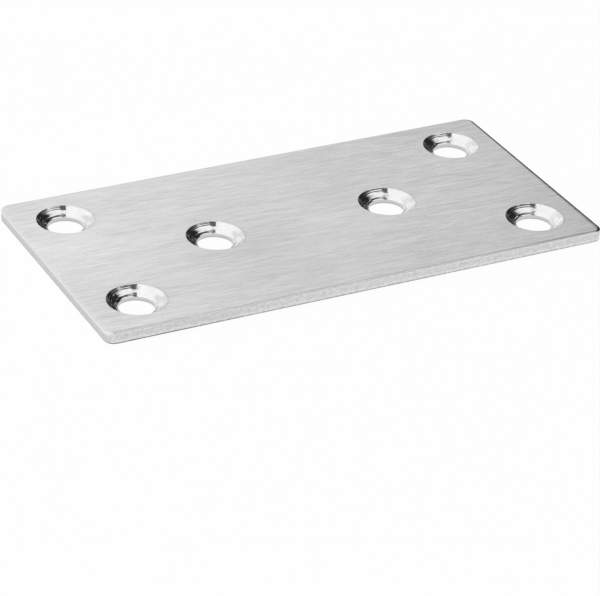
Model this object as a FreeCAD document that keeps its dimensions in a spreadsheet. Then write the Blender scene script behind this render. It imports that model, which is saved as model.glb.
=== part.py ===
import FreeCAD, Part
import os
import Sketcher

# A flat mending plate, cut from one sheet of satin steel. It lies on its underside:
# X runs along it, Y across it and Z up, and the origin is under its middle.
# Lengths are in millimetres and angles in degrees.

doc = FreeCAD.newDocument("mending_plate")

DRIVING_DIMENSIONS = [
    ("plate_length", 80.0, "end to end"),
    ("plate_width", 40.0, "side to side"),
    ("thickness", 1.8, "of the sheet"),
    ("corner_radius", 1.5, "of the outline's four corners"),
    ("edge_roll", 0.4, "radius where the cut drew the top face down, all round the outline"),
    ("burr_break", 0.12, "radius that is left where the burr under the outline was taken off"),
    ("end_margin", 7.6, "from an end to the centres of its two corner holes"),
    ("side_margin", 7.4, "from a side to the centres of its two corner holes"),
    ("inner_spacing", 28.4, "between the centres of the two inner holes"),
    ("hole_diameter", 5.3, "of the straight land below the countersink"),
    ("countersink_diameter", 8.6, "of the cone at the top face"),
    ("countersink_angle", 110.0, "between the cone's opposite walls"),
    ("rim_round", 0.1, "radius between the top face and the cone"),
    ("land_break", 0.1, "bevel under the land, where the drill came out"),
]

CLOSE = 1e-6    # lengths that differ by less are the same


def make_sheet(dimensions):
    """Writes the driving dimensions, one to a row, each cell with its name as alias."""
    sheet = doc.addObject("Spreadsheet::Sheet", "sizes")
    for row, (name, value, note) in enumerate(dimensions, start=1):
        sheet.set(f"A{row}", name)
        sheet.set(f"B{row}", str(value))
        sheet.set(f"C{row}", note)
        sheet.setAlias(f"B{row}", name)
    doc.recompute()
    return sheet


def origin_plane(body, role):
    """The body's own origin plane with that role."""
    return next(item for item in body.Origin.OriginFeatures if item.Role == role)


def value_of(expression):
    """What an expression on the sheet gives now. The sketches are drawn at these sizes, then bound."""
    return float(sheet.evalExpression(expression))


def bind(sketch, index, name, expression):
    """Names one constraint of a sketch and ties it to the sheet."""
    sketch.renameConstraint(index, name)
    sketch.setExpression(f"Constraints.{name}", expression)


def draw_rectangle(sketch, length, width, guide=False):
    """A rectangle centred on the sketch's origin, as four lines whose first points are its corners."""
    half_along, half_across = value_of(length) / 2, value_of(width) / 2
    corners = [(-1, -1), (1, -1), (1, 1), (-1, 1)]
    points = [FreeCAD.Vector(x * half_along, y * half_across, 0) for x, y in corners]
    lines = [sketch.addGeometry(Part.LineSegment(points[i], points[(i + 1) % 4]), guide) for i in range(4)]
    for i in range(4):
        sketch.addConstraint(Sketcher.Constraint("Coincident", lines[i], 2, lines[(i + 1) % 4], 1))
    for i in (0, 2):
        sketch.addConstraint(Sketcher.Constraint("Horizontal", lines[i]))
    for i in (1, 3):
        sketch.addConstraint(Sketcher.Constraint("Vertical", lines[i]))
    sketch.addConstraint(Sketcher.Constraint("Symmetric", lines[0], 1, lines[2], 1, -1, 1))
    along = sketch.addConstraint(Sketcher.Constraint("DistanceX", lines[0], 1, lines[0], 2, 2 * half_along))
    across = sketch.addConstraint(Sketcher.Constraint("DistanceY", lines[1], 1, lines[1], 2, 2 * half_across))
    bind(sketch, along, "along", length)
    bind(sketch, across, "across", width)
    return lines


def draw_hole(sketch, x, y):
    """A hole's circle at the given point, with its diameter tied to the sheet."""
    centre, upright = FreeCAD.Vector(x, y, 0), FreeCAD.Vector(0, 0, 1)
    circle = sketch.addGeometry(Part.Circle(centre, upright, sheet.hole_diameter / 2))
    diameter = sketch.addConstraint(Sketcher.Constraint("Diameter", circle, sheet.hole_diameter))
    bind(sketch, diameter, f"hole_{circle}", "sizes.hole_diameter")
    return circle


def top_sketch(body, name):
    """An empty sketch in the plane of the top face."""
    sketch = body.newObject("Sketcher::SketchObject", name)
    sketch.AttachmentSupport = (origin_plane(body, "XY_Plane"), "")
    sketch.MapMode = "FlatFace"
    sketch.setExpression("AttachmentOffset.Base.z", "sizes.thickness")
    return sketch


def edges_where(feature, wanted):
    """Names of the feature's edges that the given test picks."""
    return [f"Edge{i}" for i, edge in enumerate(feature.Shape.Edges, start=1) if wanted(edge)]


def level(edge):
    """Height of an edge that lies level, or None for any other."""
    box = edge.BoundBox
    return box.ZMin if box.ZLength < CLOSE else None


def lies_at(edge, height):
    return level(edge) is not None and abs(level(edge) - height) < CLOSE


def is_circle(edge, diameter):
    """Whether the edge is a whole circle of that diameter."""
    if not isinstance(edge.Curve, Part.Circle):
        return False
    return edge.isClosed() and abs(2 * edge.Curve.Radius - diameter) < CLOSE


def dress(body, kind, name, base, edges, size_property, expression):
    """Adds a fillet or a chamfer on the base's edges and binds its size."""
    feature = body.newObject(kind, name)
    feature.Base = (base, edges)
    feature.setExpression(size_property, expression)
    doc.recompute()
    return feature


def cut_blank(body):
    """The sheet's blank: rounded corners, top edge rolled over by the cut, burr side broken."""
    outline = body.newObject("Sketcher::SketchObject", "outline")
    outline.AttachmentSupport = (origin_plane(body, "XY_Plane"), "")
    outline.MapMode = "FlatFace"
    draw_rectangle(outline, "sizes.plate_length", "sizes.plate_width")
    blank = body.newObject("PartDesign::Pad", "blank")
    blank.Profile = outline
    blank.setExpression("Length", "sizes.thickness")
    doc.recompute()
    upright = edges_where(blank, lambda edge: edge.BoundBox.ZLength > CLOSE)
    corners = dress(body, "PartDesign::Fillet", "rounded_corners", blank, upright,
                    "Radius", "sizes.corner_radius")
    top = edges_where(corners, lambda edge: lies_at(edge, sheet.thickness))
    rolled = dress(body, "PartDesign::Fillet", "rolled_top_edge", corners, top,
                   "Radius", "sizes.edge_roll")
    under = edges_where(rolled, lambda edge: lies_at(edge, 0))
    return dress(body, "PartDesign::Fillet", "broken_under_edge", rolled, under,
                 "Radius", "sizes.burr_break")


def drill(body, name, sketch):
    """Drills and countersinks a hole through the sheet at each circle of the sketch."""
    doc.recompute()
    before = body.Shape.Volume
    holes = body.newObject("PartDesign::Hole", name)
    holes.Profile = sketch
    doc.recompute()
    holes.ThreadType = "None"
    holes.DepthType = "ThroughAll"
    holes.DrillPoint = "Flat"
    holes.HoleCutType = "Countersink"
    holes.HoleCutCustomValues = True
    holes.setExpression("Diameter", "sizes.hole_diameter")
    holes.setExpression("HoleCutDiameter", "sizes.countersink_diameter")
    holes.setExpression("HoleCutCountersinkAngle", "sizes.countersink_angle")
    doc.recompute()
    if body.Shape.Volume >= before:
        raise RuntimeError(f"{name} cut nothing")
    return holes


def make_plate():
    """The plate: blank, four corner holes, two inner holes, then the breaks at their rims."""
    body = doc.addObject("PartDesign::Body", "plate")
    body.Label = "plate"
    cut_blank(body)

    corner_centres = top_sketch(body, "corner_hole_centres")
    frame = draw_rectangle(corner_centres, "sizes.plate_length - 2 * sizes.end_margin",
                           "sizes.plate_width - 2 * sizes.side_margin", guide=True)
    for line in frame:
        start = corner_centres.getPoint(line, 1)
        circle = draw_hole(corner_centres, start.x, start.y)
        corner_centres.addConstraint(Sketcher.Constraint("Coincident", circle, 3, line, 1))
    drill(body, "corner_holes", corner_centres)

    inner_centres = top_sketch(body, "inner_hole_centres")
    left = draw_hole(inner_centres, -sheet.inner_spacing / 2, 0)
    right = draw_hole(inner_centres, sheet.inner_spacing / 2, 0)
    inner_centres.addConstraint(Sketcher.Constraint("PointOnObject", left, 3, -1))
    inner_centres.addConstraint(Sketcher.Constraint("Symmetric", left, 3, right, 3, -1, 1))
    spacing = Sketcher.Constraint("DistanceX", left, 3, right, 3, sheet.inner_spacing)
    apart = inner_centres.addConstraint(spacing)
    bind(inner_centres, apart, "apart", "sizes.inner_spacing")
    holes = drill(body, "inner_holes", inner_centres)

    rims = edges_where(holes, lambda edge: is_circle(edge, sheet.countersink_diameter))
    softened = dress(body, "PartDesign::Fillet", "softened_rims", holes, rims,
                     "Radius", "sizes.rim_round")
    mouths = edges_where(softened, lambda edge: is_circle(edge, sheet.hole_diameter) and lies_at(edge, 0))
    dress(body, "PartDesign::Chamfer", "cleaned_mouths", softened, mouths,
          "Size", "sizes.land_break")
    return body


def check(parts):
    """Stops on a failed feature or an unusable solid, because a recompute alone raises nothing."""
    for item in doc.Objects:
        if "Invalid" in item.State or "Error" in item.State:
            raise RuntimeError(f"{item.Name}: {item.State}")
    for part in parts:
        if part.Shape.isNull() or not part.Shape.isValid() or len(part.Shape.Solids) != 1:
            raise RuntimeError(f"{part.Label} is not one valid solid")


def write(parts):
    """Writes each sub-part to a STEP file that has its label as name."""
    os.makedirs("parts", exist_ok=True)
    for part in parts:
        part.Shape.exportStep(f"parts/{part.Label}.step")
        box = part.Shape.optimalBoundingBox(False, False)
        print(part.Label, f"{box.XLength:.3f} x {box.YLength:.3f} x {box.ZLength:.3f} mm,",
              f"{part.Shape.Volume:.2f} mm3, {len(part.Shape.Faces)} faces")


sheet = make_sheet(DRIVING_DIMENSIONS)
sub_parts = [make_plate()]
doc.recompute()
check(sub_parts)
write(sub_parts)
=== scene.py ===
import math

import bpy
from mathutils import Matrix, Vector


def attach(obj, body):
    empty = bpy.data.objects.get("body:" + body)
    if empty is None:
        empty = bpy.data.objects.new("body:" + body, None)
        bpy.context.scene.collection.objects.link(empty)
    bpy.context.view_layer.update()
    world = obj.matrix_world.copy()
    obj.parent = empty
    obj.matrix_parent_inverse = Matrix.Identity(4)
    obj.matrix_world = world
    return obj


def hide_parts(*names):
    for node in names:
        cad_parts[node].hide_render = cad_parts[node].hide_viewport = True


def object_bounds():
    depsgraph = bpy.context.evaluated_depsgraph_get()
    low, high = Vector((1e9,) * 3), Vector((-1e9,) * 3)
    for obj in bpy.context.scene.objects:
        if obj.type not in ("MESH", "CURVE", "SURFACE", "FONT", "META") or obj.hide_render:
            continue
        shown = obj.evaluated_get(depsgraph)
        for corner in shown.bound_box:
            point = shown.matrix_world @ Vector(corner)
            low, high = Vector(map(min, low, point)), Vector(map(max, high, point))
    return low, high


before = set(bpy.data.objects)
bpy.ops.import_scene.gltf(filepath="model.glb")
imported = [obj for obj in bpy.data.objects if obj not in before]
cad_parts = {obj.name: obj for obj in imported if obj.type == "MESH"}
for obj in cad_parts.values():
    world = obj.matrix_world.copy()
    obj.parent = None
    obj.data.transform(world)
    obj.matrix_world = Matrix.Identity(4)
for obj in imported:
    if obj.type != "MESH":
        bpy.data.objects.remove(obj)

cadLow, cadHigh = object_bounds()          # the plate's real size, in metres, fixed by the frame
mm = 0.001


# Shader maths: a wire is a socket that can be used in plain expressions

class Wire:
    def __init__(self, graph, socket):
        self.graph = graph
        self.socket = socket

    def math(self, operation, *others):
        values = dict(enumerate((self,) + others))
        return self.graph.add("Math", {"operation": operation}, values)

    def __add__(self, other):
        return self.math("ADD", other)

    def __sub__(self, other):
        return self.math("SUBTRACT", other)

    def __rsub__(self, other):
        return self.graph.add("Math", {"operation": "SUBTRACT"}, {0: other, 1: self})

    def __mul__(self, other):
        return self.math("MULTIPLY", other)

    def __truediv__(self, other):
        return self.math("DIVIDE", other)

    def __abs__(self):
        return self.math("ABSOLUTE")

    def __gt__(self, other):
        return self.math("GREATER_THAN", other)

    def __lt__(self, other):
        return self.math("LESS_THAN", other)

    __radd__ = __add__
    __rmul__ = __mul__


class Graph:
    def __init__(self, owner):
        owner.use_nodes = True
        self.tree = owner.node_tree
        self.tree.nodes.clear()

    # kind is the node's type, settings are set first, then values or wires go to its sockets
    def add(self, kind, settings=None, inputs=None, output=0):
        node = self.tree.nodes.new("ShaderNode" + kind)
        for name, value in (settings or {}).items():
            setattr(node, name, value)
        for name, value in (inputs or {}).items():
            if isinstance(value, Wire):
                self.tree.links.new(value.socket, node.inputs[name])
            else:
                node.inputs[name].default_value = value
        return Wire(self, node.outputs[output]) if node.outputs else node

    def rise(self, value, start, end):           # 0 before start, 1 after end, smooth between
        return self.add("MapRange", {"interpolation_type": "SMOOTHSTEP"},
                        {"Value": value, "From Min": start, "From Max": end})

    def blend(self, amount, low, high):          # low where amount is 0, high where it is 1
        return low + (high - low) * amount

    def place(self):                             # coordinates of the piece, in metres
        return self.add("TexCoord", output="Object")

    def axes(self, vector):
        split = self.add("SeparateXYZ", {}, {0: vector})
        return [Wire(self, socket) for socket in split.socket.node.outputs]

    def stretched(self, vector, perMetre):       # coordinates scaled for a streaky pattern
        return self.add("VectorMath", {"operation": "MULTIPLY"}, {0: vector, 1: perMetre})

    def noise(self, vector, detail, rough, distortion=0.0):
        return self.add("TexNoise", {}, {"Vector": vector, "Scale": 1.0, "Detail": detail,
                                         "Roughness": rough, "Distortion": distortion})

    def bump(self, depth, height):
        return self.add("Bump", {}, {"Strength": 1.0, "Distance": depth, "Height": height})

    def grey(self, level):                       # a colour from one number
        return self.add("CombineColor", {}, {0: level, 1: level, 2: level})


# Selecting and editing, as by hand

def clearSelection():
    if bpy.context.object and bpy.context.object.mode != "OBJECT":
        bpy.ops.object.mode_set(mode="OBJECT")
    bpy.ops.object.select_all(action="DESELECT")


def pick(piece, kind, wanted):           # in edit mode, selects the faces or edges that the test wants
    bpy.ops.mesh.select_mode(type=kind)
    bpy.ops.mesh.select_all(action="DESELECT")
    bpy.ops.object.mode_set(mode="OBJECT")
    for part in piece.data.polygons if kind == "FACE" else piece.data.edges:
        part.select = wanted(part)
    bpy.ops.object.mode_set(mode="EDIT")


def extrudeBy(height):
    bpy.ops.mesh.extrude_region_move(TRANSFORM_OT_translate={"value": (0, 0, height)})


def pointOutwards():                     # in edit mode, all faces
    bpy.ops.mesh.select_all(action="SELECT")
    bpy.ops.mesh.normals_make_consistent(inside=False)


def applyAll(piece):
    bpy.context.view_layer.objects.active = piece
    for modifier in list(piece.modifiers):
        bpy.ops.object.modifier_apply(modifier=modifier.name)


# The blank: outline, cut edge, rolled top edge and broken under edge

blank = {
    "cornerRadius": 1.5 * mm,
    "cornerSegments": 14,
    "outlineStep": 0.4 * mm,             # spacing of points along the straight sides
    "rollWidth": 0.6 * mm,               # top edge, drawn over by the cut
    "rollHeight": 0.22 * mm,
    "rollSteps": 12,
    "breakUnder": 0.12 * mm,             # under edge, where the burr came off
    "breakSteps": 4,
    "tornHeight": 0.62 * mm,             # lower part of the cut, where the steel tore
    "tornSetBack": 0.025 * mm,
    "wallRows": 6,
    "waves": 0.022 * mm,                 # how far the cut edge wanders inwards
    "waveLength": 0.9 * mm,
    "sharpAngle": 33.0,                  # steeper folds than this are shaded sharp
}


def roundOver(width, height, steps):     # inset and lift of each step of a quarter round
    angles = [math.radians(90 * step / steps) for step in range(steps + 1)]
    for here, there in zip(angles, angles[1:]):
        yield width * (math.cos(here) - math.cos(there)), height * (math.sin(there) - math.sin(here))


def alongSide(piece, axis, sign):        # a test for the straight edge on one side
    outer = cadHigh[axis] * 0.9999
    return lambda edge: all(sign * piece.data.vertices[k].co[axis] > outer for k in edge.vertices)


def makeBlank():
    size = cadHigh - cadLow
    tornTop = blank["tornHeight"]
    bpy.ops.mesh.primitive_plane_add(size=1, location=(0, 0, tornTop))
    sheet = bpy.context.object
    sheet.name = "plate_finished"
    bpy.ops.object.mode_set(mode="EDIT")
    bpy.ops.transform.resize(value=(size.x, size.y, 1), center_override=(0, 0, tornTop))
    bpy.ops.mesh.select_mode(type="VERT")
    bpy.ops.mesh.select_all(action="SELECT")
    bpy.ops.mesh.bevel(affect="VERTICES", offset=blank["cornerRadius"], offset_type="OFFSET",
                       segments=blank["cornerSegments"], profile=0.5)
    for axis, sign in ((0, -1), (0, 1), (1, -1), (1, 1)):          # points along each straight side
        pick(sheet, "EDGE", alongSide(sheet, axis, sign))
        straight = size[1 - axis] - 2 * blank["cornerRadius"]
        bpy.ops.mesh.subdivide(number_cuts=round(straight / blank["outlineStep"]) - 1)
    bpy.ops.object.mode_set(mode="OBJECT")
    bpy.ops.object.transform_apply(location=True, rotation=True, scale=True)
    bpy.ops.object.mode_set(mode="EDIT")
    bpy.ops.mesh.select_mode(type="FACE")
    bpy.ops.mesh.select_all(action="SELECT")

    # upwards: the smooth part of the cut, then the roll
    rows = blank["wallRows"]
    wall = size.z - blank["rollHeight"] - tornTop
    for row in range(rows):
        extrudeBy(wall / rows)
    for inset, lift in roundOver(blank["rollWidth"], blank["rollHeight"], blank["rollSteps"]):
        bpy.ops.mesh.inset(thickness=inset, depth=lift)

    # downwards: the torn part, set back, then the break
    pointOutwards()
    pick(sheet, "FACE", lambda face: face.normal.z < -0.9)
    torn = tornTop - blank["breakUnder"]
    bpy.ops.mesh.inset(thickness=blank["tornSetBack"], depth=torn / rows)
    for row in range(rows - 1):
        extrudeBy(-torn / rows)
    for inset, lift in roundOver(blank["breakUnder"], blank["breakUnder"], blank["breakSteps"]):
        bpy.ops.mesh.inset(thickness=inset, depth=lift)
    pointOutwards()
    bpy.ops.object.mode_set(mode="OBJECT")
    return sheet


def wanderEdge(sheet):                   # the cut edge is not dead straight
    group = sheet.vertex_groups.new(name="cutEdge")
    # the upright part of the edge, with a little to spare at both ends
    bottom = blank["breakUnder"] * 0.9
    top = (cadHigh.z - blank["rollHeight"]) * 1.01
    for point in sheet.data.vertices:
        if bottom < point.co.z < top:
            group.add([point.index], 1.0, "REPLACE")
    clouds = bpy.data.textures.new("edgeWaves", "CLOUDS")
    clouds.noise_scale = blank["waveLength"]
    clouds.noise_depth = 2
    waves = sheet.modifiers.new("waves", "DISPLACE")
    waves.texture = clouds
    waves.texture_coords = "LOCAL"
    waves.vertex_group = group.name
    waves.strength = blank["waves"]
    waves.mid_level = 1.0                # so that it only goes inwards
    applyAll(sheet)
    sheet.vertex_groups.clear()


# The holes: one cutter is modelled from the mouth up, then copied to the six places

hole = {
    "radius": 2.65 * mm,                 # of the land
    "coneRadius": 4.3 * mm,              # of the cone at the top face
    "coneAngle": 110.0,
    "mouthBevel": 0.1 * mm,
    "footRound": 0.07 * mm,
    "footSteps": 4,
    "rimRound": 0.1 * mm,
    "rimSteps": 4,
    "segments": 128,
    "rows": 60,                          # points down the cone
    # turning marks down the cone: share of the way from the rim, degrees steeper than the cone
    "marks": [(0, 10), (0.05, 10), (0.08, 2), (0.11, 8), (0.17, 9), (0.20, 1), (0.23, 8), (0.32, 7),
              (0.37, -2), (0.42, -5), (0.5, -3), (0.55, -6), (0.66, -4), (0.72, -4), (0.76, 8),
              (0.82, 12), (0.91, 11), (0.95, -4), (1, -4)],
    "endMargin": 7.6 * mm,
    "sideMargin": 7.4 * mm,
    "innerSpacing": 28.4 * mm,
    "overshoot": 0.3 * mm,               # the cutter stands out of both faces by this
}

cornerX = cadHigh.x - hole["endMargin"]
cornerY = cadHigh.y - hole["sideMargin"]
innerX = hole["innerSpacing"] / 2


def holeCentres():
    corners = [(sideX * cornerX, sideY * cornerY) for sideX in (-1, 1) for sideY in (-1, 1)]
    return corners + [(side * innerX, 0) for side in (-1, 1)]


def turningMarks(length):                # height of the marks above the plain cone, from foot to rim
    rows, marks = hole["rows"], hole["marks"]
    tilts = []
    for row in range(rows):
        down = 1 - (row + 0.5) / rows
        after = next(k for k in range(1, len(marks)) if marks[k][0] >= down)
        (nearer, first), (farther, second) = marks[after - 1], marks[after]
        tilts.append(first + (second - first) * (down - nearer) / (farther - nearer))
    mean = sum(tilts) / rows
    lift = 0.0
    lifts = []
    for tilt in tilts[:-1]:              # less their mean, so that both ends stay on the cone
        lift += math.tan(math.radians(tilt - mean)) * length / rows
        lifts.append(lift)
    return lifts


def holeProfile():                       # radius and height of each ring of the cutter, from below
    top, bore = cadHigh.z, hole["radius"]
    slope = math.radians(90 - hole["coneAngle"] / 2)          # of the cone, from level
    footHeight = top - (hole["coneRadius"] - bore) * math.tan(slope)
    yield bore + hole["mouthBevel"] + hole["overshoot"], -hole["overshoot"]
    yield bore, hole["mouthBevel"]
    # round at the cone's foot: tangent to the land and to the cone
    turn = math.pi / 2 - slope
    reach = hole["footRound"] * math.tan(turn / 2)
    centreX, centreZ = bore + hole["footRound"], footHeight - reach
    for step in range(hole["footSteps"] + 1):
        angle = turn * step / hole["footSteps"]
        yield centreX - hole["footRound"] * math.cos(angle), centreZ + hole["footRound"] * math.sin(angle)
    # the cone with its turning marks, up to where the rim's round begins
    rimReach = hole["rimRound"] * math.tan(slope / 2)
    startX, startZ = bore + reach * math.cos(slope), footHeight + reach * math.sin(slope)
    endX, endZ = hole["coneRadius"] - rimReach * math.cos(slope), top - rimReach * math.sin(slope)
    lifts = turningMarks(math.hypot(endX - startX, endZ - startZ))
    for row, lift in enumerate(lifts, start=1):
        share = row / hole["rows"]
        yield (startX + (endX - startX) * share - lift * math.sin(slope),
               startZ + (endZ - startZ) * share + lift * math.cos(slope))
    # the rim's round, which stops just before it lies level
    for step in range(hole["rimSteps"]):
        angle = slope * (1 - step / hole["rimSteps"])
        yield (hole["coneRadius"] + rimReach - hole["rimRound"] * math.sin(angle),
               top - hole["rimRound"] * (1 - math.cos(angle)))
    yield hole["coneRadius"] + rimReach, top
    yield hole["coneRadius"] + rimReach, top + hole["overshoot"]


def makeCutter():
    rings = list(holeProfile())
    radius, height = rings[0]
    clearSelection()
    bpy.ops.mesh.primitive_circle_add(vertices=hole["segments"], radius=radius, fill_type="NGON",
                                      location=(0, 0, height))
    cutter = bpy.context.object
    cutter.name = "holeCutter"
    bpy.ops.object.transform_apply(location=True, rotation=True, scale=True)
    bpy.ops.object.mode_set(mode="EDIT")
    bpy.ops.mesh.select_mode(type="FACE")
    bpy.ops.mesh.select_all(action="SELECT")
    for nextRadius, nextHeight in rings[1:]:
        extrudeBy(nextHeight - height)
        share = nextRadius / radius
        bpy.ops.transform.resize(value=(share, share, 1), center_override=(0, 0, nextHeight))
        radius, height = nextRadius, nextHeight
    pointOutwards()
    bpy.ops.object.mode_set(mode="OBJECT")
    return cutter


def drillHoles(sheet):
    cutter = makeCutter()
    copies = []
    for number, (x, y) in enumerate(holeCentres()):
        copy = cutter.copy()
        copy.data = cutter.data.copy()
        copy.name = f"holeCutter{number}"
        bpy.context.collection.objects.link(copy)
        copy.location = (x, y, 0)
        copies.append(copy)
    bpy.data.objects.remove(cutter)
    clearSelection()
    for copy in copies:
        copy.select_set(True)
    bpy.context.view_layer.objects.active = copies[0]
    bpy.ops.object.transform_apply(location=True, rotation=False, scale=False)
    bpy.ops.object.join()
    cutters = bpy.context.object
    clearSelection()
    cut = sheet.modifiers.new("holes", "BOOLEAN")
    cut.operation = "DIFFERENCE"
    cut.solver = "EXACT"
    cut.object = cutters
    sheet.select_set(True)
    applyAll(sheet)
    bpy.data.objects.remove(cutters)


# Materials

# Darker and lighter are shares of the steel's own level, a pair says where something starts and
# where it is full, and a pattern how often it changes in a metre along x, y and z.

def newMaterial(name):
    material = bpy.data.materials.new(name)
    return material, Graph(material)


def steelSurface(graph, level, rough, bump):
    shader = graph.add("BsdfPrincipled", {}, {"Base Color": graph.grey(level), "Roughness": rough,
                                              "Metallic": 1.0, "Normal": bump})
    graph.add("OutputMaterial", {}, {"Surface": shader})


shadedRims = {                             # painted shade: the right-hand rims of the holes are darker
    "side": (0.3, 0.8),                  # how far to the right of the axis, 1 being straight right
    "onFace": 0.1,                       # how much darker the face is there
    "faceReach": (0.34 * mm, 0.14 * mm),     # out from the cone's edge
    "onCone": 0.2,                       # and the cone
    "coneReach": (-0.14 * mm, -0.06 * mm),
}


def aroundHole(graph, x, y):             # across to the nearest hole's axis, by the plate's symmetry
    isInner = abs(x) < (cornerX + innerX) / 2
    dx = abs(x) - graph.blend(isInner, cornerX, innerX)
    dy = abs(y) - cornerY * (1 - isInner)
    return dx, dy, (dx * dx + dy * dy).math("SQRT")


def rimShadeMask(graph, x, dx, radial, reach):          # mask of the painted shade: 1 at the right-hand rims, 0 away from them
    start, end = reach
    toRight = dx / radial * ((x > 0) * 2 - 1)
    near = graph.rise(radial, hole["coneRadius"] + start, hole["coneRadius"] + end)
    return graph.rise(toRight, *shadedRims["side"]) * near


satin = {
    "level": 0.715,                      # base colour of the steel
    "brushTurn": 2.5,                    # degrees that the brushing runs off the length
    # the brushing in four sizes: its pattern, detail, distortion and weight
    "brushing": {"medium": ((165, 2300, 300), 2, 0.15, 0.7),
                 "fine": ((420, 4400, 300), 1, 0.0, 0.7),
                 "grain": ((2600, 5200, 300), 1, 0.0, 0.3),
                 "broad": ((45, 330, 60), 2, 0.0, 0.3)},
    "streaks": 0.47,                     # how much the brushing varies the steel
    "streaksRight": 0.2,                 # and how much more toward the right end
    "streaksRightFrom": (0, 30 * mm),    # x
    "roughness": 0.26,
    "roughMedium": 0.1,                  # how much the brushing varies that
    "roughFine": 0.06,
    "grooves": 0.001 * mm,
    # broad patches, darker or lighter: centre and half widths in mm, how much lighter
    "patches": [((-11, -11), (18, 27), -0.068), ((-35, 3), (16, 12), 0.065), ((-34, -12), (14, 9), -0.055),
                ((16, 19), (28, 11), -0.065), ((8, 6), (10, 10), -0.05), ((12, -15), (9, 11), -0.05),
                ((28, 1), (10, 8), 0.035)],
}

roll = {                                 # the edge that the cut drew over
    "depth": (0.02 * mm, 0.1 * mm),      # under the top face
    "ends": (1.2 * mm, 0.6 * mm),        # in from the two ends
    "polish": 0.5,                       # how much of the brushing the cut took off it
    "roughness": 0.19,                   # the cut burnished it
    "endRoughness": 0.12,                # most at the two ends
    "leftHighlight": 0.1,                  # painted highlight: how much lighter it is at the left end
    "creaseShade": 0.16,                      # painted shade: how much darker it is in the crease where it begins
    "creaseRight": 0.12,                 # and how much more toward the right end
    "creaseRightFrom": (20 * mm, 39 * mm),   # x
    "creaseTop": (0.002 * mm, 0.012 * mm),   # under the top face
    "creaseFoot": (0.075 * mm, 0.045 * mm),
    "rightShade": 0.36,                   # painted shade: how much darker a line along the right end is
    "rightShadeFrom": (0.84 * mm, 0.5 * mm),  # in from the right end
    "rightShadeSlant": 0.01,              # it is wider toward the front
}


def satinFace():
    material, graph = newMaterial("satin_face")
    place = graph.place()
    turn = (0, 0, math.radians(satin["brushTurn"]))
    brushed = graph.add("Mapping", {}, {"Vector": place, "Rotation": turn})
    lines = 0.0
    brushing = {}
    for name, (pattern, detail, distortion, weight) in satin["brushing"].items():
        brushing[name] = graph.noise(graph.stretched(brushed, pattern), detail, 0.5, distortion)
        lines = lines + (brushing[name] - 0.5) * weight
    x, y, z = graph.axes(place)

    # the roll, with a painted highlight at its left end, painted shade in the crease where it begins, and
    # painted shade in the dark line of the right end
    rolled = graph.rise(z, *(cadHigh.z - depth for depth in roll["depth"]))
    leftEnd = graph.rise(x, *(cadLow.x + inset for inset in roll["ends"]))
    ends = graph.rise(abs(x), *(cadHigh.x - inset for inset in roll["ends"]))
    creaseShade = roll["creaseShade"] + roll["creaseRight"] * graph.rise(x, *roll["creaseRightFrom"])
    begins = graph.rise(z, *(cadHigh.z - depth for depth in roll["creaseTop"]))
    begins = begins * graph.rise(z, *(cadHigh.z - depth for depth in roll["creaseFoot"]))
    fromRight = cadHigh.x - x + roll["rightShadeSlant"] * y
    shade = roll["leftHighlight"] * rolled * leftEnd
    shade = shade - creaseShade * begins * (1 - leftEnd)
    shade = shade - roll["rightShade"] * graph.rise(fromRight, *roll["rightShadeFrom"])

    # painted shade at the rims of the holes, and the broad patches
    dx, _, radial = aroundHole(graph, x, y)
    shade = shade - shadedRims["onFace"] * rimShadeMask(graph, x, dx, radial, shadedRims["faceReach"])
    for (middleX, middleY), (halfX, halfY), lighter in satin["patches"]:
        across = (x - middleX * mm) / (halfX * mm)
        along = (y - middleY * mm) / (halfY * mm)
        shade = shade + lighter * graph.rise((across * across + along * along).math("SQRT"), 1, 0)

    streaks = satin["streaks"] + satin["streaksRight"] * graph.rise(x, *satin["streaksRightFrom"])
    level = satin["level"] * (1 + streaks * lines * (1 - roll["polish"] * rolled) + shade)
    rolledRough = graph.blend(ends, roll["roughness"], roll["endRoughness"])
    rough = graph.blend(rolled, satin["roughness"], rolledRough)
    rough = rough + satin["roughMedium"] * (brushing["medium"] - 0.5)
    rough = rough + satin["roughFine"] * (brushing["fine"] - 0.5)
    steelSurface(graph, level, rough, graph.bump(satin["grooves"], brushing["fine"] + brushing["medium"]))
    return material


cutEdge = {
    "level": 0.66,
    "blotches": (1700, 1700, 2200),      # patterns
    "drag": (9000, 9000, 700),
    "grain": (14000, 14000, 14000),
    "mottle": 0.42,                      # how much the blotches vary the left end, elsewhere twice that
    "roughness": 0.46,
    "roughMottle": 0.16,
    "relief": 0.004 * mm,
    "torn": (0.75 * mm, 0.55 * mm),      # above the underside
    "tornLighter": 0.1,
    "burr": (0.27 * mm, 0.17 * mm),      # painted shade: the dark line along the foot of the edge
    "burrDarker": 0.5,
    "burrLeft": 0.25,                    # how much darker still toward the left
    "burrLeftFrom": (-16 * mm, -30 * mm),    # x
    "burrRight": 0.12,                   # and how much lighter toward the right
    "burrRightFrom": (6 * mm, 20 * mm),
    "upper": (1.4 * mm, 1.54 * mm),      # the last of the edge under the roll
    "upperLighter": 0.15,
    "upperRightShade": -0.3,                  # painted shade: the same band is darker at the right end
    "rightEnd": (0.5 * mm, 0.1 * mm),    # in from it
    # at the left end a painted highlight on its upper part, painted shade on its lower part
    "leftEnd": (0.7 * mm, 0.2 * mm),
    "leftUpper": (1.0 * mm, 1.4 * mm),
    "leftHighlight": 0.28,
    "leftShade": 0.05,
    "leftFootShade": 0.2,
}


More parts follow.
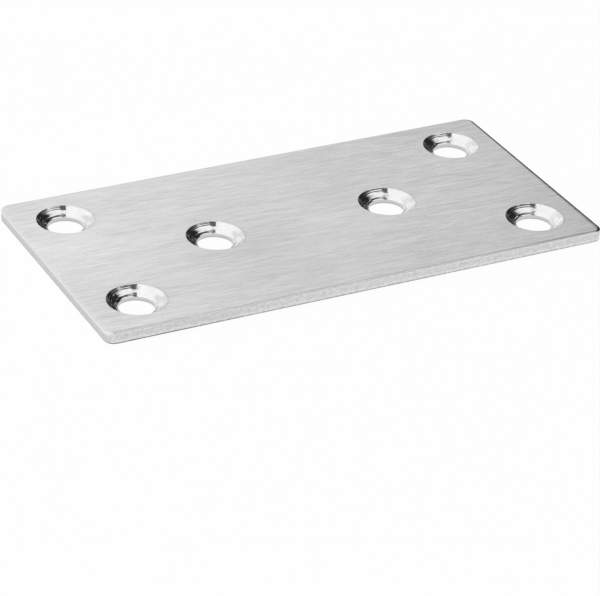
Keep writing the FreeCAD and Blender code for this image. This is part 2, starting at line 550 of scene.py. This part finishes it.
def shearedEdge():
    material, graph = newMaterial("sheared_edge")
    place = graph.place()
    x, _, z = graph.axes(place)
    blotches = graph.noise(graph.stretched(place, cutEdge["blotches"]), 3, 0.6)
    drag = graph.noise(graph.stretched(place, cutEdge["drag"]), 2, 0.5)
    grain = graph.noise(graph.stretched(place, cutEdge["grain"]), 2, 0.6)
    torn = graph.rise(z, *cutEdge["torn"])
    # painted shade along the foot of the edge
    burr = graph.rise(z, *cutEdge["burr"])
    leftEnd = graph.rise(x, *(cadLow.x + inset for inset in cutEdge["leftEnd"]))
    rightEnd = graph.rise(x, *(cadHigh.x - inset for inset in cutEdge["rightEnd"]))
    # the band under the roll, with painted shade at the right end
    upper = graph.blend(rightEnd, cutEdge["upperLighter"], cutEdge["upperRightShade"])
    upper = upper * graph.rise(z, *cutEdge["upper"])
    line = cutEdge["burrDarker"] + cutEdge["burrLeft"] * graph.rise(x, *cutEdge["burrLeftFrom"])
    line = burr * (line - cutEdge["burrRight"] * graph.rise(x, *cutEdge["burrRightFrom"]))
    # painted highlight on the upper part of the left end, painted shade on its lower part
    leftLightAndShade = cutEdge["leftHighlight"] * graph.rise(z, *cutEdge["leftUpper"])
    leftLightAndShade = leftLightAndShade - cutEdge["leftShade"] - cutEdge["leftFootShade"] * burr
    bands = graph.blend(leftEnd, cutEdge["tornLighter"] * torn - line + upper, leftLightAndShade)
    level = cutEdge["level"] * (1 + cutEdge["mottle"] * (2 - leftEnd) * (blotches - 0.5) + bands)
    rough = cutEdge["roughness"] + cutEdge["roughMottle"] * (blotches - 0.5)
    relief = drag * (1 - torn) + grain * torn + blotches
    steelSurface(graph, level, rough, graph.bump(cutEdge["relief"], relief))
    return material


cone = {
    "level": 0.84,
    "patches": (1100, 1100, 1100),       # pattern
    "patchShade": 0.2,
    "ringPitch": 0.24 * mm,
    "ringDepth": 0.0052 * mm,
    "ringShade": 0.04,
    "wobble": (260, 260, 260),           # pattern, by which the rings run uneven
    "wobbleTurn": 9,                     # and how far, in radians
    "chatter": (0.55, 1.3),              # how deep the rings are, at the left and at the right
    "chatterFrom": (-5 * mm, 12 * mm),   # x
    "roughness": 0.05,
    "roughPatches": 0.06,
    "scores": 0.3,                       # how much rougher the fine scores are
    "scoreEdge": (0.57, 0.7),            # of their pattern
    "scorePitch": 0.16 * mm,
    "scoreArc": 3,                       # changes round the cone
    "otherSide": (17.3, 31.7),           # shifts the scores, so that each hole has its own
}


def turnedCone():
    material, graph = newMaterial("turned_cone")
    place = graph.place()
    x, y, _ = graph.axes(place)
    dx, dy, radial = aroundHole(graph, x, y)
    wobble = graph.noise(graph.stretched(place, cone["wobble"]), 3, 0.6)
    rings = (radial / cone["ringPitch"] * math.tau + wobble * cone["wobbleTurn"]).math("SINE")
    patches = graph.noise(graph.stretched(place, cone["patches"]), 3, 0.6)
    deeper = graph.blend(graph.rise(x, *cone["chatterFrom"]), *cone["chatter"])
    # painted shade on the cone at the right-hand rims
    rimShade = shadedRims["onCone"] * rimShadeMask(graph, x, dx, radial, shadedRims["coneReach"])
    level = cone["level"] * (1 + cone["patchShade"] * (patches - 0.5) + cone["ringShade"] * rings - rimShade)

    # fine scores run round the cone in arcs
    shiftX, shiftY = cone["otherSide"]
    across = radial / cone["scorePitch"] + (x > 0) * shiftX + (y > 0) * shiftY
    turns = graph.add("CombineXYZ", {}, {0: across, 1: dx / radial * cone["scoreArc"],
                                         2: dy / radial * cone["scoreArc"]})
    scores = graph.rise(graph.noise(turns, 1, 0.5), *cone["scoreEdge"])
    rough = cone["roughness"] + cone["roughPatches"] * (patches - 0.5) + cone["scores"] * scores
    steelSurface(graph, level, rough, graph.bump(cone["ringDepth"], rings * patches * deeper))
    return material


land = {
    "level": 0.62,
    "scores": (700, 700, 9000),          # pattern, round the land
    "scoreShade": 0.2,
    "scoreDepth": 0.002 * mm,
    "roughness": 0.3,
    "roughScores": 0.1,
    "mouth": (0.35 * mm, 0.1 * mm),      # above the underside: painted shade, darker toward it
    "mouthShade": 0.3,
}


def drilledLand():
    material, graph = newMaterial("drilled_land")
    place = graph.place()
    scores = graph.noise(graph.stretched(place, land["scores"]), 2, 0.5)
    _, _, z = graph.axes(place)
    # painted shade, darker toward the underside
    mouth = graph.rise(z, *land["mouth"])
    level = land["level"] * (1 + land["scoreShade"] * (scores - 0.5) - land["mouthShade"] * mouth)
    rough = land["roughness"] + land["roughScores"] * (scores - 0.5)
    steelSurface(graph, level, rough, graph.bump(land["scoreDepth"], scores))
    return material


facing = {                               # the upward part of a face's normal
    "level": 0.97,                       # the top face, the underside and what is nearly level in a hole
    "cone": 0.3,                         # the cone is above this, the land below it
    "roll": 0.78,                        # the roll is brushed above this and sheared below it
}


def finishFaces(sheet):
    for material in (satinFace(), shearedEdge(), turnedCone(), drilledLand()):
        sheet.data.materials.append(material)
    flat, edge, turned, drilled = range(4)
    centres = holeCentres()
    inHole = hole["coneRadius"] + hole["rimRound"]
    for face in sheet.data.polygons:
        middle, up = face.center, face.normal.z
        nearest = min(math.hypot(middle.x - x, middle.y - y) for x, y in centres)
        if nearest < inHole and abs(up) < facing["level"]:
            face.material_index = turned if up > facing["cone"] else drilled
        elif up > facing["roll"] or up < -facing["level"]:
            face.material_index = flat
        else:
            face.material_index = edge


def shadeSmooth(sheet):
    clearSelection()
    sheet.select_set(True)
    bpy.context.view_layer.objects.active = sheet
    bpy.ops.object.shade_smooth_by_angle(angle=math.radians(blank["sharpAngle"]))
    even = sheet.modifiers.new("evenShading", "WEIGHTED_NORMAL")
    even.keep_sharp = True
    applyAll(sheet)


# Floor, light and camera

studio = {
    "domeRadius": 2.0,
    # brightness of its parts
    "tent": 1.0,                         # white tent, left, behind and in front
    "softbox": 1.08,                     # high at the left
    "shoulder": 0.87,                    # tent behind, right of the middle
    "seam": 0.85,                        # where two sides of the tent meet, behind at the left
    "dark": 0.022,                       # the open side at the right
    "darkLow": 0.15,                     # its foot
    "gap": 0.12,                         # overhead, between the tent and the panel
    "panel": 1.02,                       # overhead, right of the middle
}

# Where the parts of the studio start and are full: x to the right, y to the back and z up, in shares
# of the dome's radius, with slants as shares of another axis

domeEdges = {
    "foot": (0.46, 0.28),                # z, below which the tent goes less far round
    "tentRight": 0.455,                  # x, where the tent ends behind
    "tentSlant": 0.2,
    "tentSoft": 0.13,                    # half the width of its edge
    "footIn": 0.1,                       # how much sooner it ends at the foot
    "footSharper": 0.08,
    "softbox": (0.2, 0.5),               # z
    "softboxRight": (0.05, -0.05),       # x
    "seamLeft": (-0.45, -0.36),          # x
    "seamRight": (-0.02, -0.15),
    "seamBack": (0.5, 0.7),              # y
    "shoulderLeft": (0.34, 0.41),        # x
    "shoulderBack": (0.3, 0.5),          # y
    "darkFoot": (0.26, 0.08),            # z
    "darkFront": (0.43, 0.53),           # y, where the dark side ends round at the front right
    "darkLean": 1.35,
    "darkUpper": (0.38, 0.48),           # z, above which it goes on
    "gapLeft": (-0.1, -0.08),            # x
    "gapSlant": 0.38,
    "gapPivot": -0.11,                   # y, where the slant starts
    "gapRight": (0.85, 0.75),
    "gapBack": (0.03, -0.03),            # y
    "gapStep": 0.17,                     # how much further back it goes
    "gapStepFrom": (0.08, 0.3),          # x
    "panelLeft": (0.09, 0.17),           # x
    "panelRight": (0.72, 0.62),
    "rightSlant": 0.3,                   # of the gap's and the panel's right sides
    "panelFront": (-0.33, -0.28),        # y
    "panelSlant": 0.2,
    "panelPivot": 0.3,                   # x, where the slant starts
    "front": (-0.48, -0.58),             # y, where all of it is tent again
}


def studioLevel(graph, x, y, z):
    # behind, the tent ends well right of the middle, sooner and more sharply toward the floor
    foot = graph.rise(z, *domeEdges["foot"])
    tentRight = domeEdges["tentRight"] + domeEdges["tentSlant"] * y.math("MAXIMUM", 0.0)
    tentRight = tentRight - domeEdges["footIn"] * foot
    soft = domeEdges["tentSoft"] - domeEdges["footSharper"] * foot
    pastTent = graph.rise((x - tentRight) / soft, -1, 1)
    # round at the front right only the upper part of the dark side goes on
    front = graph.rise(y + domeEdges["darkLean"] * z, *domeEdges["darkFront"])
    isDark = pastTent * front.math("MAXIMUM", graph.rise(z, *domeEdges["darkUpper"]))
    dark = graph.blend(graph.rise(z, *domeEdges["darkFoot"]), studio["dark"], studio["darkLow"])

    softbox = graph.rise(z, *domeEdges["softbox"]) * graph.rise(x, *domeEdges["softboxRight"])
    seam = graph.rise(x, *domeEdges["seamLeft"]) * graph.rise(x, *domeEdges["seamRight"])
    seam = seam * graph.rise(y, *domeEdges["seamBack"])
    shoulder = graph.rise(x, *domeEdges["shoulderLeft"]) * graph.rise(y, *domeEdges["shoulderBack"])
    tent = graph.blend(softbox, studio["tent"], studio["softbox"])
    tent = graph.blend(seam, tent, studio["seam"])
    tent = graph.blend(shoulder, tent, studio["shoulder"])

    # overhead the tent ends at the middle, and a panel hangs right of the gap
    slanted = x - domeEdges["rightSlant"] * y
    gap = graph.rise(x - domeEdges["gapSlant"] * (y - domeEdges["gapPivot"]), *domeEdges["gapLeft"])
    gap = gap * graph.rise(slanted, *domeEdges["gapRight"])
    step = domeEdges["gapStep"] * graph.rise(x, *domeEdges["gapStepFrom"])
    gap = gap * graph.rise(y - step, *domeEdges["gapBack"])
    panel = graph.rise(x, *domeEdges["panelLeft"]) * graph.rise(slanted, *domeEdges["panelRight"])
    panelFront = y - domeEdges["panelSlant"] * (x - domeEdges["panelPivot"])
    panel = panel * graph.rise(panelFront, *domeEdges["panelFront"])
    overhead = graph.blend(panel, studio["gap"], studio["panel"])

    level = graph.blend(isDark, tent, dark)
    level = graph.blend(gap, level, overhead)
    return graph.blend(graph.rise(y, *domeEdges["front"]), level, studio["tent"])


def lightStudio():
    clearSelection()
    bpy.ops.mesh.primitive_uv_sphere_add(segments=64, ring_count=32, radius=studio["domeRadius"])
    dome = bpy.context.object
    dome.name = "dome"
    dome.visible_camera = False
    bpy.ops.object.shade_smooth()
    material, graph = newMaterial("tent_and_flags")
    shares = graph.stretched(graph.place(), (1 / studio["domeRadius"],) * 3)
    level = studioLevel(graph, *graph.axes(shares))
    glow = graph.add("Emission", {}, {"Color": graph.grey(level)})
    graph.add("OutputMaterial", {}, {"Surface": glow})
    dome.data.materials.append(material)

    world = bpy.data.worlds.new("white")
    bpy.context.scene.world = world
    graph = Graph(world)
    graph.add("OutputWorld", {}, {"Surface": graph.add("Background", {}, {"Color": (1, 1, 1, 1)})})


ground = {
    "size": 6,
    "below": 0.02 * mm,                  # under the plate
    "colour": (1, 1, 1, 1),
    "glow": 0.94,                        # plain white that the camera and mirrors see, the rest shows shadow
}


def makeFloor():
    clearSelection()
    bpy.ops.mesh.primitive_plane_add(size=ground["size"], location=(0, 0, -ground["below"]))
    floor = bpy.context.object
    floor.name = "floor"
    material, graph = newMaterial("pale_floor")
    paths = graph.add("LightPath").socket.node.outputs
    kinds = ("Camera", "Glossy", "Transmission")
    camera, mirrored, through = (Wire(graph, paths[f"Is {kind} Ray"]) for kind in kinds)
    seen = camera + mirrored + through
    matt = graph.add("BsdfDiffuse", {}, {"Color": ground["colour"]})
    glow = graph.add("Emission", {}, {"Strength": 1.0})
    both = graph.add("MixShader", {}, {0: seen * ground["glow"], 1: matt, 2: glow})
    graph.add("OutputMaterial", {}, {"Surface": both})
    floor.data.materials.append(material)


cameraPlace = {
    "aim": (-9.551 * mm, -18.171 * mm, 0.0),
    "distance": 410.75 * mm,
    "elevation": 29.859,                 # degrees above the floor
    "heading": 28.724,                   # degrees, the way it looks, from +Y toward +X
    "roll": 3.283,                       # degrees, its right side up
    "lens": 174.17,
    "clip": (0.01, 20),
}


def placeCamera():
    heading, rise, tilt = (math.radians(cameraPlace[name]) for name in ("heading", "elevation", "roll"))
    look = Vector((math.sin(heading) * math.cos(rise), math.cos(heading) * math.cos(rise), -math.sin(rise)))
    level = look.cross(Vector((0, 0, 1))).normalized()
    upright = level.cross(look)
    right = level * math.cos(tilt) + upright * math.sin(tilt)
    up = right.cross(look)
    turn = Matrix((right, up, -look)).transposed().to_4x4()
    eye = Vector(cameraPlace["aim"]) - look * cameraPlace["distance"]
    data = bpy.data.cameras.new("camera")
    data.lens = cameraPlace["lens"]
    data.clip_start, data.clip_end = cameraPlace["clip"]
    camera = bpy.data.objects.new("camera", data)
    bpy.context.collection.objects.link(camera)
    camera.matrix_world = Matrix.Translation(eye) @ turn
    bpy.context.scene.camera = camera


bpy.context.scene.view_settings.view_transform = "Standard"
clearSelection()
print("blank")
plate = makeBlank()
wanderEdge(plate)
print("holes")
drillHoles(plate)
print("materials")
finishFaces(plate)
shadeSmooth(plate)
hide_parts("plate")
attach(plate, "root")
print("studio")
makeFloor()
lightStudio()
placeCamera()
